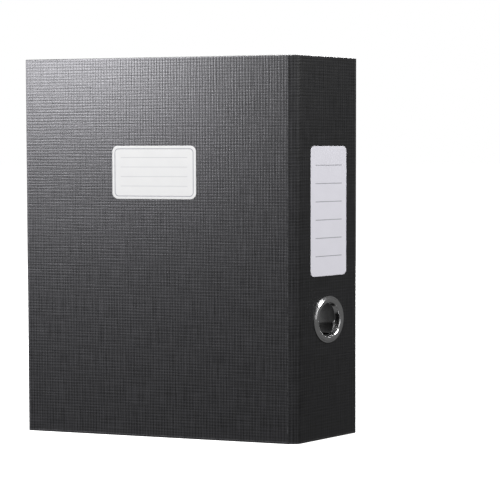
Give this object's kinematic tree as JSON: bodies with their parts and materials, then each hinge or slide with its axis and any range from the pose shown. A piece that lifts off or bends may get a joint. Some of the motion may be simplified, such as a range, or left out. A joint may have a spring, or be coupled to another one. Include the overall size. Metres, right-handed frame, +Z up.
{
  "type": "ring binder",
  "caption": "Upright cloth-grained paper binder with a hinged front cover, finger hole in the spine, labels and a lever arch mechanism inside the back cover.",
  "frame": {"origin": "middle of the spine's foot, at half the board's thickness", "axes": "+Z up along the spine, +X out of the spine's outer face, -Y the front cover's side, +Y the back cover's side"},
  "size_m": [0.2443, 0.1756, 0.318],
  "materials": {
    "cover_paper": "black linen-embossed covering paper, soft sheen",
    "greyboard": "raw grey board",
    "lining_paper": "plain matt dark lining paper",
    "label_paper": "smooth white paper with fine grey rules",
    "dark_nickel": "polished dark nickel plating",
    "nickel": "bright nickel-plated steel",
    "spring_steel": "plain spring steel",
    "roller_plastic": "black moulded plastic"
  },
  "bodies": {
    "spine": {"spine_wrap": "cover_paper", "spine_board": "greyboard", "spine_lining": "lining_paper", "spine_label": "label_paper", "finger_ring": "dark_nickel", "ring_washer": "dark_nickel"},
    "strip": {"strip_wrap": "cover_paper", "strip_board": "greyboard", "strip_lining": "lining_paper"},
    "front_cover": {"front_wrap": "cover_paper", "front_board": "greyboard", "front_lining": "lining_paper", "front_label": "label_paper"},
    "back_cover": {"back_wrap": "cover_paper", "back_board": "greyboard", "back_lining": "lining_paper", "base_plate": "nickel", "post_lower": "nickel", "post_upper": "nickel", "arch_spring": "spring_steel", "lever_pin": "spring_steel", "rivet_1": "nickel", "rivet_2": "nickel", "rivet_3": "nickel", "rivet_4": "nickel"},
    "arch": {"arch_wire": "nickel"},
    "lever": {"lever": "nickel", "roller_pin": "spring_steel"},
    "roller": {"lever_roller": "roller_plastic"},
    "compressor": {"compressor_bar": "nickel", "catch_lower": "spring_steel", "catch_upper": "spring_steel"}
  },
  "joints": [
    {"name": "front_strip_hinge", "type": "hinge", "parent": "spine", "child": "strip", "pos_m": [0, -0.03865, 0.159], "axis": [0, 0, 1], "range_deg": [-11.5, 78.5]},
    {"name": "front_cover_hinge", "type": "hinge", "parent": "strip", "child": "front_cover", "pos_m": [-0.00468, -0.04385, 0.159], "axis": [0, 0, 1], "range_deg": [-11.5, 78.5]},
    {"name": "back_cover_hinge", "type": "hinge", "parent": "spine", "child": "back_cover", "pos_m": [0, 0.03645, 0.159], "axis": [0, 0, -1], "range_deg": [0, 90]},
    {"name": "lever_hinge", "type": "hinge", "parent": "back_cover", "child": "lever", "pos_m": [-0.033, 0.0248, 0.132], "axis": [1, 0, 0], "range_deg": [0, 90]},
    {"name": "arch_hinge", "type": "hinge", "parent": "back_cover", "child": "arch", "pos_m": [-0.022, 0.0298, 0.159], "axis": [0, 0, 1], "range_deg": [0, 24]},
    {"name": "roller_spin", "type": "hinge", "parent": "lever", "child": "roller", "pos_m": [-0.033, 0.0246, 0.148], "axis": [1, 0, 0], "continuous": true},
    {"name": "compressor_slide", "type": "slide", "parent": "back_cover", "child": "compressor", "axis": [0, -1, 0], "range_m": [0, 0.026]}
  ],
  "couplings": [
    {"joint": "front_cover_hinge", "follows": "front_strip_hinge", "ratio": 1},
    {"joint": "arch_hinge", "follows": "lever_hinge", "ratio": 0.26667}
  ]
}
